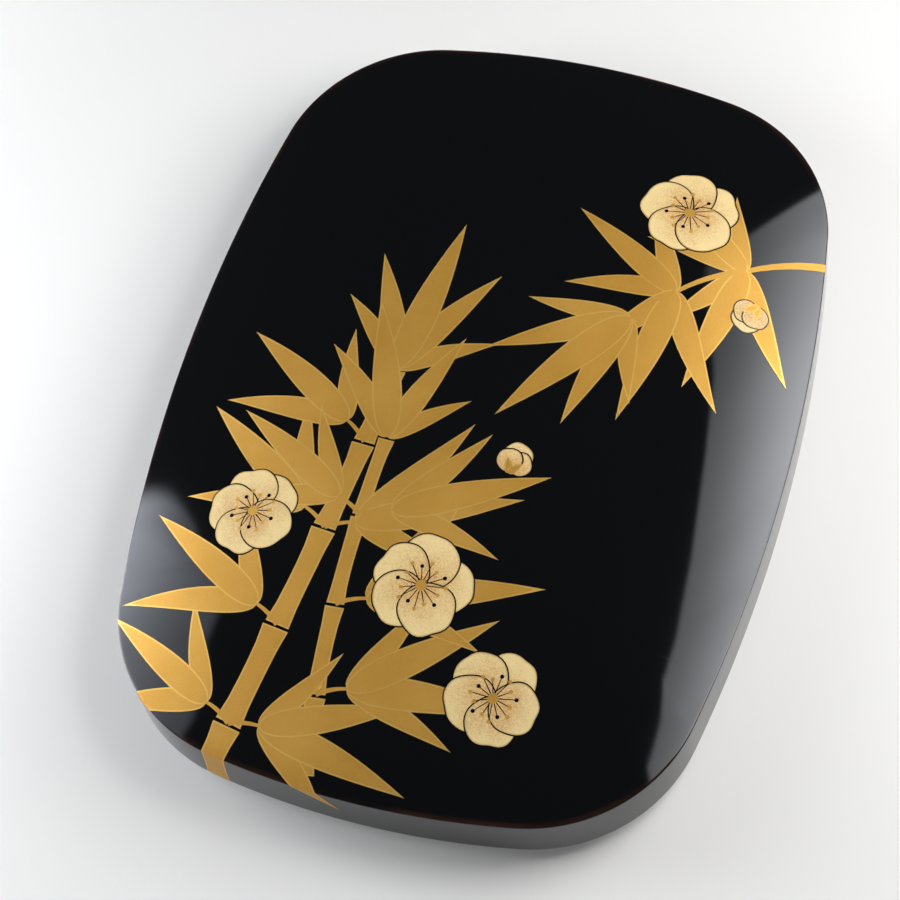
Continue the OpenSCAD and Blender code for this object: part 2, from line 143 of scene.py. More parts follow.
# The outline, measured on the photograph: a bulge on each side and end, and a corner arc that is
# tangent to both. An inset keeps the centres and shortens the radii.
lid_low, lid_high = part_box("lid_shell")
lid_half = Vector((lid_high.x, lid_high.y))
side_r = 475 * MM
end_r = 248 * MM
corner_r = 49 * MM
side_centre = Vector((lid_half.x - side_r, 0))
end_centre = Vector((0, lid_half.y - end_r))
span = end_centre - side_centre
along = ((side_r - corner_r) ** 2 - (end_r - corner_r) ** 2 + span.length_squared) / (2 * span.length)
across = math.sqrt((side_r - corner_r) ** 2 - along ** 2)
span.normalize()
corner_centre = side_centre + span * along + Vector((-span.y, span.x)) * across
side_turn = math.atan2(corner_centre.y, corner_centre.x - side_centre.x)
end_turn = math.atan2(corner_centre.y - end_centre.y, corner_centre.x)
# The arcs of one quarter, from +X round to +Y: centre, radius, and the angles they run between
arcs = ((side_centre, side_r, 0, side_turn), (corner_centre, corner_r, side_turn, end_turn),
        (end_centre, end_r, end_turn, math.pi / 2))


def outline(inset, steps=(26, 44, 26)):
    """The outline as points, anticlockwise from the +X side."""
    quarter = []
    for (centre, r, start, stop), count in zip(arcs, steps):
        for i in range(count):
            a = start + (stop - start) * i / count
            quarter.append(centre + (r - inset) * Vector((math.cos(a), math.sin(a))))
    top = Vector((0, lid_half.y - inset))
    half = quarter + [top] + [Vector((-p.x, p.y)) for p in quarter[:0:-1]]
    return half + [-p for p in half]


def eased(path, radius):
    """The inner corners of a path of (inset, z), each turned into a small arc."""
    steps = 3
    out = []
    for before, here, after in zip(path, path[1:], path[2:]):
        here = Vector(here)
        back, on = Vector(before) - here, Vector(after) - here
        ease = min(radius, back.length / 2.2, on.length / 2.2)
        start, stop = here + back.normalized() * ease, here + on.normalized() * ease
        for i in range(steps + 1):
            t = i / steps
            out.append(tuple((1 - t) ** 2 * start + 2 * t * (1 - t) * here + t ** 2 * stop))
    return out


def mesh_object(name, points, faces, material):
    """A smooth-shaded mesh whose faces look outwards."""
    mesh = bpy.data.meshes.new(name)
    mesh.from_pydata([tuple(p) for p in points], [], faces)
    mesh.validate()
    work = bmesh.new()
    work.from_mesh(mesh)
    bmesh.ops.recalc_face_normals(work, faces=work.faces)
    work.to_mesh(mesh)
    work.free()
    mesh.polygons.foreach_set("use_smooth", [True] * len(mesh.polygons))
    mesh.materials.append(material)
    made = bpy.data.objects.new(name, mesh)
    bpy.context.scene.collection.objects.link(made)
    return made


def loft(name, rings, first, last, material):
    """A closed skin through rings of points, drawn to one point at each end."""
    n = len(rings[0])
    points = [first] + [p for ring in rings for p in ring] + [last]
    faces = [(0, 1 + i, 1 + (i + 1) % n) for i in range(n)]
    for j in range(len(rings) - 1):
        a = 1 + j * n
        faces += [(a + i, a + n + i, a + n + (i + 1) % n, a + (i + 1) % n) for i in range(n)]
    a = 1 + (len(rings) - 1) * n
    faces += [(a + (i + 1) % n, a + i, len(points) - 1) for i in range(n)]
    skin = mesh_object(name, points, faces, material)
    skin.modifiers.new("even_shading", "WEIGHTED_NORMAL").weight = 50
    return skin


def level(inset, z):
    """The outline at one height."""
    return [Vector((p.x, p.y, z)) for p in outline(inset)]


floor_z = 4.2 * MM          # the body's inside floor
foot_h = 1.4 * MM
foot_w = 7.0 * MM
foot_step = 1.0 * MM        # from the body's wall in to the foot
lid_wall = 4.0 * MM
lid_gap = 0.5 * MM          # between the lid's wall and the body
body_wall = 4.0 * MM
edge_ease = 0.35 * MM       # how far a sharp edge is eased
far_in = 60 * MM            # where the floors head for, well inside the outline
rim_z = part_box("body_shell")[1].z
body_inset = lid_wall + lid_gap
inner_inset = body_inset + body_wall
foot_inset = body_inset + foot_step

body_lacquer = black_urushi("black urushi on the body", 0.09)
body_path = eased([
    (far_in, floor_z), (inner_inset, floor_z), (inner_inset, rim_z), (body_inset, rim_z),
    (body_inset, foot_h), (foot_inset, foot_h), (foot_inset, 0), (foot_inset + foot_w, 0),
    (foot_inset + foot_w, foot_h), (far_in, foot_h)], edge_ease)
body = loft("body_lacquered", [level(i, z) for i, z in body_path],
            Vector((0, 0, floor_z)), Vector((0, 0, foot_h)), body_lacquer)
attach(body, "base")
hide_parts("body_shell")

# ---------------------------------------------------------------------------------------------
# The fitted board: a lacquered board that lifts out of the body's middle. It is rebated for the
# inkstone and bored for the dropper, with a scoop where a fingertip lifts the inkstone's end.


def softened(node, radius, material, body):
    """A copy of a CAD piece whose sharp edges are eased as hand work leaves them."""
    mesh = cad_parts[node].data.copy()
    mesh.materials.clear()
    mesh.materials.append(material)
    work = bmesh.new()
    work.from_mesh(mesh)
    # Doubled corners are merged and flat edges dissolved, so that only real edges are eased
    bmesh.ops.remove_doubles(work, verts=work.verts, dist=0.004 * MM)
    bmesh.ops.dissolve_limit(work, angle_limit=math.radians(0.4), verts=work.verts, edges=work.edges)
    for face in work.faces:
        face.smooth = True
        face.material_index = 0
    work.to_mesh(mesh)
    work.free()
    piece = bpy.data.objects.new(node + "_eased", mesh)
    bpy.context.scene.collection.objects.link(piece)
    ease = piece.modifiers.new("eased", "BEVEL")
    ease.width = radius
    ease.segments = 3
    ease.limit_method = "ANGLE"
    ease.angle_limit = math.radians(40)
    ease.miter_outer = "MITER_ARC"
    piece.modifiers.new("even_shading", "WEIGHTED_NORMAL").weight = 60
    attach(piece, body)
    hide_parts(node)


def satin_urushi(name):
    """Black urushi left from the last brush, unpolished: a satin black with the faint long waves
    of the brush, and brown where edges have rubbed."""
    material, shader = new_material(name, Base_Color=linear("#0c0a0a"), Roughness=0.22, IOR=1.54)
    place = add(material, "TexCoord").outputs["Object"]
    lay = add(material, "Mapping", in0=place, in3=(520, 22, 520))
    waves = add(material, "TexNoise", Vector=lay, Scale=1.0, Detail=2.0)
    bump = add(material, "Bump", Strength=0.2, Distance=0.00004, Height=waves)
    touch = add(material, "TexNoise", Vector=place, Scale=60.0, Detail=3.0)
    tone = add(material, "MapRange", Value=touch, in1=0.3, in2=0.75, in3=0.17, in4=0.30)
    edge = add(material, "NewGeometry").outputs["Pointiness"]
    worn = add(material, "MapRange", Value=edge, in1=0.53, in2=0.6, in3=0.0, in4=0.85)
    colour = add(material, "Mix", RGBA, in0=worn, in6=linear("#0c0a0a"), in7=linear("#3b221a"))
    feed(material, shader, Base_Color=colour.outputs[2], Roughness=tone, Normal=bump)
    return material


inner_lacquer = satin_urushi("satin black urushi")
softened("inkstone_board", 0.5 * MM, inner_lacquer, "board")

# ---------------------------------------------------------------------------------------------
# The inkstone: one block of dark slate, cut and ground by hand, with a sunk ground for rubbing
# that slopes into a deep well. Years of ink have stained the ground and dried black in the well.

stone_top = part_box("inkstone")[1].z
slate, slate_shader = new_material("ground slate", Roughness=0.5, IOR=1.55)
place = add(slate, "TexCoord").outputs["Object"]
grain = add(slate, "TexNoise", Vector=place, Scale=1900.0, Detail=3.0, Roughness=0.7)
beds = add(slate, "Mapping", in0=place, in2=(0.12, 0.05, 0.3), in3=(24, 9, 420))
bedding = add(slate, "TexNoise", Vector=beds, Scale=1.0, Detail=3.0)
mixed = add(slate, "Math", {"operation": "MULTIPLY_ADD"}, in0=grain, in1=0.35, in2=bedding)
stone_tone = add(slate, "ValToRGB", Fac=mixed)
for stop, position, tint in zip(stone_tone.color_ramp.elements, (0.42, 0.85), ("#2c2f36", "#4e525a")):
    stop.position = position
    stop.color = linear(tint)
depth = add(slate, "SeparateXYZ", Vector=place).outputs["Z"]
# The ground lies 1.4 mm below the rim and the well 8 mm
sunk = add(slate, "MapRange", Value=depth, in1=stone_top - 2.2 * MM, in2=stone_top - 0.9 * MM,
           in3=1.0, in4=0.0)
puddles = add(slate, "TexNoise", Vector=place, Scale=70.0, Detail=4.0)
stain = add(slate, "MapRange", Value=puddles, in1=0.35, in2=0.62, in3=0.45, in4=1.0)
inked = add(slate, "Math", MULTIPLY, in0=sunk, in1=stain)
stone_colour = add(slate, "Mix", RGBA, in0=inked, in6=stone_tone, in7=linear("#0b0b0d"))
well = add(slate, "MapRange", Value=depth, in1=stone_top - 7.8 * MM, in2=stone_top - 4 * MM,
           in3=0.24, in4=0.5)
stone_bump = add(slate, "Bump", Strength=0.35, Distance=0.00006, Height=grain)
feed(slate, slate_shader, Base_Color=stone_colour.outputs[2], Roughness=well, Normal=stone_bump)
softened("inkstone", 0.9 * MM, slate, "inkstone")

# ---------------------------------------------------------------------------------------------
# The water dropper: a small round flask of cast bronze, turned on the lathe in two halves and
# soldered, with a pour hole at the front and an air hole in the middle. Its patina is brown in
# the hollows and rubbed bright where fingers hold it.

dropper_low, dropper_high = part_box("dropper_body")
bronze, bronze_shader = new_material("patinated bronze", Metallic=1.0, Roughness=0.34)
place = add(bronze, "TexCoord").outputs["Object"]
middle = (dropper_low + dropper_high) / 2
centred = add(bronze, "Mapping", in0=place, in1=(-middle.x, -middle.y, 0))
# Turning marks about half a millimetre apart
turning = add(bronze, "TexWave", {"wave_type": "RINGS", "rings_direction": "Z"},
              Vector=centred, Scale=620.0, Distortion=0.6, Detail=1.0)
bloom = add(bronze, "TexNoise", Vector=place, Scale=150.0, Detail=4.0, Roughness=0.65)
edge = add(bronze, "NewGeometry").outputs["Pointiness"]
held = add(bronze, "Math", {"operation": "MULTIPLY_ADD"}, in0=edge, in1=1.5, in2=bloom)
bronze_tone = add(bronze, "ValToRGB", Fac=held)
for stop, position, tint in zip(bronze_tone.color_ramp.elements, (0.95, 1.0), ("#4a3522", "#b48f5c")):
    stop.position = position
    stop.color = linear(tint)
dull = add(bronze, "MapRange", Value=bloom, in1=0.3, in2=0.7, in3=0.42, in4=0.26)
bronze_bump = add(bronze, "Bump", Strength=0.25, Distance=0.00003, Height=turning.outputs[1])
feed(bronze, bronze_shader, Base_Color=bronze_tone, Roughness=dull, Normal=bronze_bump)
for node in ("dropper_body", "dropper_top"):
    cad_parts[node].material_slots[0].material = bronze

# ---------------------------------------------------------------------------------------------
# The two side trays: thin-walled lacquered trays that fit between the board and the body's wall.
# The left one has notched rests for two brushes, the right one for the holder. Finger notches
# in their inner walls let them be lifted out.

for tray in ("brush_tray", "tool_tray"):
    softened(tray, 0.45 * MM, inner_lacquer, tray)

# ---------------------------------------------------------------------------------------------
# The two brushes: bamboo shafts with a joint's ring here and there, a dark horn collar that
# holds the glued root of the hair, a horn button at the tail, and a bamboo cap over the hair.
# The hair is goat, drawn to a point and faintly grey from ink.


def bamboo(name, pale, deep):
    """Smoked bamboo, scraped and waxed: honey brown, with fibres lengthways about 0.4 mm apart,
    a low wax gloss, and darker specks and streaks."""
    material, shader = new_material(name, Roughness=0.38, IOR=1.5)
    place = add(material, "TexCoord").outputs["Object"]
    lay = add(material, "Mapping", in0=place, in3=(2400, 26, 2400))
    fibre = add(material, "TexNoise", Vector=lay, Scale=1.0, Detail=3.0, Roughness=0.6)
    slow = add(material, "Mapping", in0=place, in3=(260, 14, 260))
    streak = add(material, "TexNoise", Vector=slow, Scale=1.0, Detail=2.0)
    both = add(material, "Math", {"operation": "MULTIPLY_ADD"}, in0=fibre, in1=0.55, in2=streak)
    tone = add(material, "ValToRGB", Fac=both)
    for stop, position, tint in zip(tone.color_ramp.elements, (0.5, 1.0), (deep, pale)):
        stop.position = position
        stop.color = linear(tint)
    bump = add(material, "Bump", Strength=0.25, Distance=0.00005, Height=fibre)
    gloss = add(material, "MapRange", Value=streak, in1=0.3, in2=0.7, in3=0.3, in4=0.46)
    feed(material, shader, Base_Color=tone, Normal=bump, Roughness=gloss)
    return material


shaft_bamboo = bamboo("waxed bamboo", "#d9b478", "#a87a42")
cap_bamboo = bamboo("smoked bamboo", "#c2965a", "#8a6034")
horn, horn_shader = new_material("polished buffalo horn", Roughness=0.16, IOR=1.54)
place = add(horn, "TexCoord").outputs["Object"]
lay = add(horn, "Mapping", in0=place, in2=(0.2, 0.1, 0), in3=(420, 60, 420))
growth = add(horn, "TexNoise", Vector=lay, Scale=1.0, Detail=3.0, Distortion=0.6)
horn_tone = add(horn, "ValToRGB", Fac=growth)
for stop, position, tint in zip(horn_tone.color_ramp.elements, (0.45, 0.75), ("#15110f", "#5b4430")):
    stop.position = position
    stop.color = linear(tint)
handled = add(horn, "MapRange", Value=growth, in1=0.3, in2=0.7, in3=0.13, in4=0.24)
feed(horn, horn_shader, Base_Color=horn_tone, Roughness=handled)

goat_hair, hair_shader = new_material("goat hair", Roughness=0.5, IOR=1.55)
place = add(goat_hair, "TexCoord").outputs["Object"]
# Real hairs are 0.06 mm; these streaks are 0.25 mm so that they show
lay = add(goat_hair, "Mapping", in0=place, in3=(4000, 45, 4000))
strand = add(goat_hair, "TexNoise", Vector=lay, Scale=1.0, Detail=2.0)
hair_tone = add(goat_hair, "ValToRGB", Fac=strand)
for stop, position, tint in zip(hair_tone.color_ramp.elements, (0.35, 0.65), ("#9c8462", "#e6d9bf")):
    stop.position = position
    stop.color = linear(tint)
hair_bump = add(goat_hair, "Bump", Strength=0.5, Distance=0.0001, Height=strand)
feed(goat_hair, hair_shader, Base_Color=hair_tone, Normal=hair_bump)


def hair_bundle(node, body, tufts):
    """Hair gathered in a bundle: full above the collar, drawn to a point, and parted in tufts."""
    low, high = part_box(node)
    axis = (low + high) / 2
    r_max = (high.x - low.x) / 2
    length = high.y - low.y
    around = tufts * 6
    steps = 34
    belly = 0.34                # how far along the bundle is fullest, as a share of its length
    points = [Vector((axis.x, low.y, axis.z))]
    for j in range(steps):
        t = j / steps
        if t < belly:
            fall = 1 - 0.07 * (1 - t / belly) ** 2
        else:
            fall = (1 - ((t - belly) / (1 - belly)) ** 1.75) ** 0.85
        for i in range(around):
            a = 2 * math.pi * i / around
            tuft = abs(math.sin(a * tufts / 2 + 1.1 * math.sin(3 * a) + 0.9 * t))
            r = r_max * fall * (1 - 0.11 * (1 - tuft) * min(1, 4 * t))
            points.append(Vector((axis.x + r * math.cos(a), low.y + t * length,
                                  axis.z + r * math.sin(a))))
    points.append(Vector((axis.x, high.y, axis.z)))
    faces = [(0, 1 + (i + 1) % around, 1 + i) for i in range(around)]
    for j in range(steps - 1):
        a = 1 + j * around
        faces += [(a + i, a + (i + 1) % around, a + around + (i + 1) % around, a + around + i)
                  for i in range(around)]
    a = 1 + (steps - 1) * around
    faces += [(a + i, a + (i + 1) % around, len(points) - 1) for i in range(around)]
    bundle = mesh_object(node + "_tufts", points, faces, goat_hair)
    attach(bundle, body)
    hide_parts(node)


for size, tufts in (("large", 26), ("small", 20)):
    hair_bundle(size + "_brush_hair", size + "_brush", tufts)
    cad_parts[size + "_brush_shaft"].material_slots[0].material = shaft_bamboo
    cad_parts[size + "_brush_cap"].material_slots[0].material = cap_bamboo
    for part in ("_brush_collar", "_brush_end"):
        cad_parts[size + part].material_slots[0].material = horn

# ---------------------------------------------------------------------------------------------
# The ink stick: soot and hide glue pressed in a wooden mould, with a sunk panel on its face.
# A line of gold paint runs round the panel's border, as on most sticks; it bears no words.

ink, ink_shader = new_material("pressed soot ink", Roughness=0.42, IOR=1.5)
place = add(ink, "TexCoord").outputs["Object"]
press = add(ink, "TexNoise", Vector=place, Scale=900.0, Detail=3.0, Roughness=0.6)
bloomed = add(ink, "TexNoise", Vector=place, Scale=90.0, Detail=3.0)
ink_tone = add(ink, "ValToRGB", Fac=bloomed)
for stop, position, tint in zip(ink_tone.color_ramp.elements, (0.35, 0.75), ("#101012", "#26272b")):
    stop.position = position
    stop.color = linear(tint)
ink_gloss = add(ink, "MapRange", Value=press, in1=0.3, in2=0.7, in3=0.34, in4=0.52)
ink_bump = add(ink, "Bump", Strength=0.2, Distance=0.00004, Height=press)
# The gold line lies in the middle of the border and is a little rubbed away
stick_low, stick_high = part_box("ink_stick")
panel_border = 2.5 * MM
gold_line = 0.6 * MM
local = add(ink, "SeparateXYZ", Vector=place).outputs
past_panel = []
for axis, near, far in (("X", stick_low.x, stick_high.x), ("Y", stick_low.y, stick_high.y)):
    off = add(ink, "Math", {"operation": "SUBTRACT"}, in0=local[axis], in1=(near + far) / 2)
    off = add(ink, "Math", {"operation": "ABSOLUTE"}, in0=off)
    past_panel.append(add(ink, "Math", {"operation": "SUBTRACT"}, in0=off,
                          in1=(far - near) / 2 - panel_border))
frame_line = add(ink, "Math", {"operation": "MAXIMUM"}, in0=past_panel[0], in1=past_panel[1])
on_line = add(ink, "Math", {"operation": "COMPARE"}, in0=frame_line, in1=panel_border / 2,
              in2=gold_line / 2)
on_face = add(ink, "Math", {"operation": "GREATER_THAN"}, in0=local["Z"], in1=stick_high.z - 0.2 * MM)
kept = add(ink, "MapRange", Value=bloomed, in1=0.3, in2=0.42, in3=0.35, in4=1.0)
line = add(ink, "Math", MULTIPLY, in0=on_line, in1=on_face)
gilt = add(ink, "Math", MULTIPLY, in0=line, in1=kept)
ink_colour = add(ink, "Mix", RGBA, in0=gilt, in6=ink_tone, in7=linear("#cf9f45"))
feed(ink, ink_shader, Base_Color=ink_colour.outputs[2], Roughness=ink_gloss,
     Metallic=gilt, Normal=ink_bump)
softened("ink_stick", 0.35 * MM, ink, "ink_stick")

# ---------------------------------------------------------------------------------------------
# The ink holder: a bamboo split lengthways that grips a worn stub of ink, closed by a ring of
# horn that slides along it.

for node in ("holder_left_jaw", "holder_right_jaw"):
    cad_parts[node].material_slots[0].material = shaft_bamboo
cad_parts["holder_ring"].material_slots[0].material = horn

# ---------------------------------------------------------------------------------------------
# The lid: a domed board on an upright wall that slips over the body, all under one skin of black
# urushi polished to a mirror. The edge between dome and wall is crisp, and hands have rubbed it
# brown. Inside, a flat ring rests on the body's rim and the dome is hollowed.

arris_z = 24.0 * MM         # the crisp edge between dome and wall
dome_rise = lid_high.z - arris_z
dome_edge = 0.4             # the share of the fall that gathers near the edge
arris_round = 0.5 * MM
corner_z = arris_z - arris_round * 0.25
lid_crown = 4.0 * MM        # the lid's thickness at its crown


def dome(s):
    """The dome's height, from 1 at the crown to 0 at its edge, where s is 1."""
    return 1 - (1 - dome_edge) * s ** 2 - dome_edge * s ** 4


def dome_ring(inset, base_z, rise, s):
    """An ellipse near the crown that turns into the outline at the edge."""
    a, b = lid_half.x - inset, lid_half.y - inset
    ring = []
    for p in outline(inset):
        way = p.normalized()
        oval = way / Vector((way.x / a, way.y / b)).length
        q = s * ((1 - s * s) * oval + s * s * p)
        ring.append(Vector((q.x, q.y, base_z + rise * dome(s))))
    return ring


outer_steps = 44
inner_steps = 24
outer_rings = [dome_ring(arris_round, arris_z, dome_rise, math.sin(math.pi / 2 * i / outer_steps))
               for i in range(2, outer_steps + 1)]
lid_path = eased([
    (arris_round * 1.6, arris_z), (0, corner_z), (0, lid_low.z), (lid_wall, lid_low.z),
    (lid_wall, rim_z), (inner_inset, rim_z), (inner_inset + 2 * MM, rim_z + 1 * MM)], edge_ease)
inner_rings = [dome_ring(inner_inset, rim_z, lid_high.z - lid_crown - rim_z,
                         math.sin(math.pi / 2 * i / inner_steps))
               for i in range(inner_steps - 1, 1, -1)]
lid_lacquer = black_urushi("mirror-polished black urushi", 0.055, worn_z=arris_z - 0.1 * MM)
lid = loft("lid_lacquered", outer_rings + [level(i, z) for i, z in lid_path] + inner_rings,
           Vector((0, 0, lid_high.z)), Vector((0, 0, lid_high.z - lid_crown)), lid_lacquer)
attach(lid, "lid")
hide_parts("lid_shell")

# ---------------------------------------------------------------------------------------------
# The picture on the lid: bamboo sprays and plum blossom in gold powder, sprinkled on drawn wet
# lacquer and burnished, a tenth of a millimetre proud. Each leaf has a brighter border, and one
# stem runs down the wall. The blossoms are shell white, dusted gold and pink at the heart.

line_w = 0.45               # the drawn border round each leaf and petal, in millimetres
gap_w = 0.42                # bare lacquer left round a petal
shapes = []                 # (outline in millimetres, kind, shading centre, shading reach)
dice = random.Random(11)


def turned(x, y, heading, forward, left):
    """The point that lies forward and left of (x, y) for someone who faces heading degrees."""
    a = math.radians(heading)
    return (x + forward * math.cos(a) - left * math.sin(a),
            y + forward * math.sin(a) + left * math.cos(a))


def leaf_outline(x, y, heading, length, width, bend, inset):
    """A bamboo leaf: full near the stalk, drawn out to a long point, and bowed to one side."""
    def half(t):
        return width / 2 * 2.5 * t ** 0.45 * (1 - t) ** 1.05 - inset
    steps = 18
    ts = [(1 - math.cos(math.pi * (i + 0.5) / steps)) / 2 for i in range(steps)]
    ts = [t for t in ts if half(t) > 0.04]
    if len(ts) < 4:
        return None
    right, left = [], []
    for t in ts:
        lean = bend * t * t * length
        right.append(turned(x, y, heading, t * length, lean - half(t)))
        left.append(turned(x, y, heading, t * length, lean + half(t)))
    tip_t = 1 if inset <= 0 else min(1, ts[-1] + 0.02)
    tip = turned(x, y, heading, tip_t * length, bend * tip_t ** 2 * length)
    base = turned(x, y, heading, max(0, ts[0] - 0.012) * length, 0)
    return [base] + right + [tip] + left[::-1]


def leaf(x, y, heading, length, width, bend):
    """A leaf inside the line drawn round it."""
    for inset, kind in ((0, "line"), (line_w, "gold")):
        points = leaf_outline(x, y, heading, length, width, bend, inset)
        if points:
            shapes.append((points, kind, (x, y), length))


def fan(x, y, heading, lengths, spread):
    """Leaves that spring from one twig; the outer ones are laid down first."""
    n = len(lengths)
    for i in sorted(range(n), key=lambda i: -abs(i - (n - 1) / 2)):
        share = i / (n - 1) - 0.5
        turn = heading + spread * share + dice.uniform(-4, 4)
        bend = 0.2 * share + dice.uniform(-0.03, 0.03)
        # A longer leaf is wider, up to 9.6 mm
        leaf(x, y, turn, lengths[i], min(9.6, lengths[i] * 0.155 + 1.6), bend)


def strip(points, widths, kind, inset=0.0):
    """A band along points in millimetres, with a width at each."""
    right, left = [], []
    for i, (x, y) in enumerate(points):
        x0, y0 = points[max(0, i - 1)]
        x1, y1 = points[min(len(points) - 1, i + 1)]
        long = math.hypot(x1 - x0, y1 - y0)
        nx, ny = (y1 - y0) / long, -(x1 - x0) / long
        w = widths[i] / 2 - inset
        ends = (1 if i == 0 else -1 if i == len(points) - 1 else 0) * inset
        sx, sy = x + ends * (x1 - x0) / long, y + ends * (y1 - y0) / long
        right.append((sx + nx * w, sy + ny * w))
        left.append((sx - nx * w, sy - ny * w))
    shapes.append((right + left[::-1], kind, points[0], 60.0))


def culm(x, y, heading, lengths, width, bow):
    """A bamboo stem: lengths between joints, each a little narrower and turned by bow degrees.
    Returns its joints, where leaves can spring."""
    joints = []
    for size in lengths:
        steps = 5
        points = [turned(x, y, heading + bow * t / steps, size * t / steps, 0) for t in range(steps + 1)]
        swell = [width * (1.16 if t in (0, steps) else 1.0 if t in (1, steps - 1) else 0.96)
                 for t in range(steps + 1)]
        strip(points, swell, "line")
        strip(points, swell, "gold", line_w)
        x, y = turned(*points[-1], heading + bow, 0.9, 0)
        joints.append((x, y, heading + bow))
        heading += bow
        width *= 0.93
    return joints


def twig(x, y, heading, length, bow, width):
    """A bare twig that thins along its way and turns by bow degrees. Returns its end, where leaves
    can spring."""
    steps = 6
    points = [turned(x, y, heading + bow * t / steps, length * t / steps, 0) for t in range(steps + 1)]
    strip(points, [width * (1 - 0.4 * t / steps) for t in range(steps + 1)], "gold")
    return (*points[-1], heading + bow)


def round_petal(x, y, heading, reach, r, inset, dent, waver):
    """A petal's outline about its own middle, with a shallow dent at the outer edge and a wavering
    hand-drawn line."""
    cx, cy = turned(x, y, heading, reach, 0)
    points = []
    for i in range(36):
        a = 2 * math.pi * i / 36
        out = 1 - dent * math.exp(-(((a + math.pi) % (2 * math.pi) - math.pi) / 0.35) ** 2)
        out = r * (out + 0.025 * math.sin(3 * a + waver) + 0.015 * math.sin(5 * a + 2 * waver)) - inset
        points.append(turned(cx, cy, heading, out * math.cos(a) * 0.97, out * math.sin(a)))
    return points


def petal(x, y, heading, reach, r, dent, waver, shade):
    """A petal in three layers: the bare gap round it, its pale rim, and its shell white, which is
    shaded as far as shade from (x, y)."""
    for inset, kind in ((-gap_w, "bare"), (0, "rim"), (line_w * 0.7, "petal")):
        shapes.append((round_petal(x, y, heading, reach, r, inset, dent, waver), kind, (x, y), shade))


def dot(x, y, r, corners):
    """A round spot."""
    turns = [i / (corners / 2) * math.pi for i in range(corners)]
    return [turned(x, y, 0, r * math.cos(a), r * math.sin(a)) for a in turns]


def blossom(x, y, turn, size):
    """A plum blossom: round petals with dark gaps between, a gold heart and fine stamens."""
    petals = 5
    for k in range(petals):
        heading = turn + 360 / petals * k + dice.uniform(-4, 4)
        reach = size * 0.27 * dice.uniform(0.96, 1.05)
        waver = dice.uniform(0, 6.3)
        r = size * 0.30 * dice.uniform(0.95, 1.04)
        petal(x, y, heading, reach, r, 0.1, waver, size * 0.55)
    stamens = petals * 3
    for k in range(stamens):
        heading = turn + 18 + 360 / stamens * k
        long = size * (0.19 if k % 2 else 0.24)
        root = turned(x, y, heading, size * 0.055, 0)
        strip([root, turned(x, y, heading, long, 0)], [0.32, 0.26], "bare")
        head = turned(x, y, heading, long + 0.5, 0)
        shapes.append((dot(*head, 0.62, 10), "bare" if k % 3 == 0 else "gold", head, 5.0))
    shapes.append((dot(x, y, size * 0.06, 16), "gold", (x, y), 5.0))


def bud(x, y, heading, size):
    """A half-open bud: two petals over a third, in a gold cup."""
    for turn, reach, r in ((0, 0.34, 0.36), (-38, 0.22, 0.30), (38, 0.22, 0.30)):
        petal(x, y, heading + turn, size * reach, size * r, 0.04, 0.0, size * 0.8)
    foot = turned(x, y, heading, -size * 0.14, 0)
    for turn, bend in ((24, 0.1), (-24, -0.1)):
        leaf(*foot, heading + turn, size * 0.42, size * 0.2, bend)


# The larger group: two stems rise from the near edge, the first from half way down the wall
stem = culm(-47, -136, 74, [25, 29, 30, 27, 24], 7.4, 2.2)
thin_stem = culm(-16, -120, 99, [21, 25, 26, 24], 5.2, -2.6)
for joint, turn, lengths, spread in (
        (stem[0], 62, [30, 40, 34], 62), (stem[0], -58, [34, 46, 42, 30], 78),
        (stem[1], 58, [32, 44, 40], 60), (stem[2], 55, [34, 46, 36], 64),
        (stem[2], -50, [36, 48, 44], 58), (stem[3], 48, [30, 44, 38], 66),
        (thin_stem[0], -62, [34, 48, 46, 32], 74), (thin_stem[1], -60, [36, 50, 42], 62),
        (thin_stem[2], 50, [30, 42, 34], 64), (thin_stem[2], -58, [34, 46, 36], 60)):
    x, y, heading = twig(joint[0], joint[1], joint[2] + turn, 9, turn * 0.2, 1.5)
    fan(x, y, heading, lengths, spread)
fan(*stem[4], [30, 42, 52, 40, 30], 96)
fan(*thin_stem[3], [26, 38, 46, 36], 84)
blossom(2, -62, 12, 27)
blossom(-52, -50, 40, 24)
blossom(30, -88, 64, 25)
bud(17, -22, 78, 12)

# The smaller group: a twig that enters from the far right and hangs its leaves inward
x, y, heading = twig(86, 70, 196, 24, 10, 2.6)
fan(x, y, heading - 62, [26, 36, 30], 52)
fan(x, y, heading + 58, [30, 44, 38], 60)
x, y, heading = twig(x, y, heading, 22, 12, 2.0)
fan(x, y, heading - 66, [30, 40, 32], 58)
fan(x, y, heading + 48, [32, 46, 40], 58)
x, y, heading = twig(x, y, heading, 16, 12, 1.6)
fan(x, y, heading, [30, 42, 50, 40, 28], 92)
blossom(44, 74, 30, 26)
bud(70, 48, 250, 12)

# Down to the surface: every shape hides what was drawn before it, so the shapes are cut into one
# net of triangles and each triangle goes to the last shape over it. Loose points every few
# millimetres let the net follow the dome, and the lid's edge is in it as a line to fold along.


def side_of_lid(x, y):
    """For a point in plan: how far it lies past the lid's edge, and the way out from there."""
    p = Vector((abs(x), abs(y)))
    turn = math.atan2(p.y - corner_centre.y, p.x - corner_centre.x)
    if side_turn <= turn <= end_turn:
        centre, r = corner_centre, corner_r
    elif turn < side_turn and p.y < corner_centre.y * 1.2 and p.x > corner_centre.x * 0.5:
        centre, r = side_centre, side_r
    else:
        centre, r = end_centre, end_r
    out = p - centre
    past = out.length - r
    out.normalize()
    return past, Vector((math.copysign(out.x, x), math.copysign(out.y, y)))


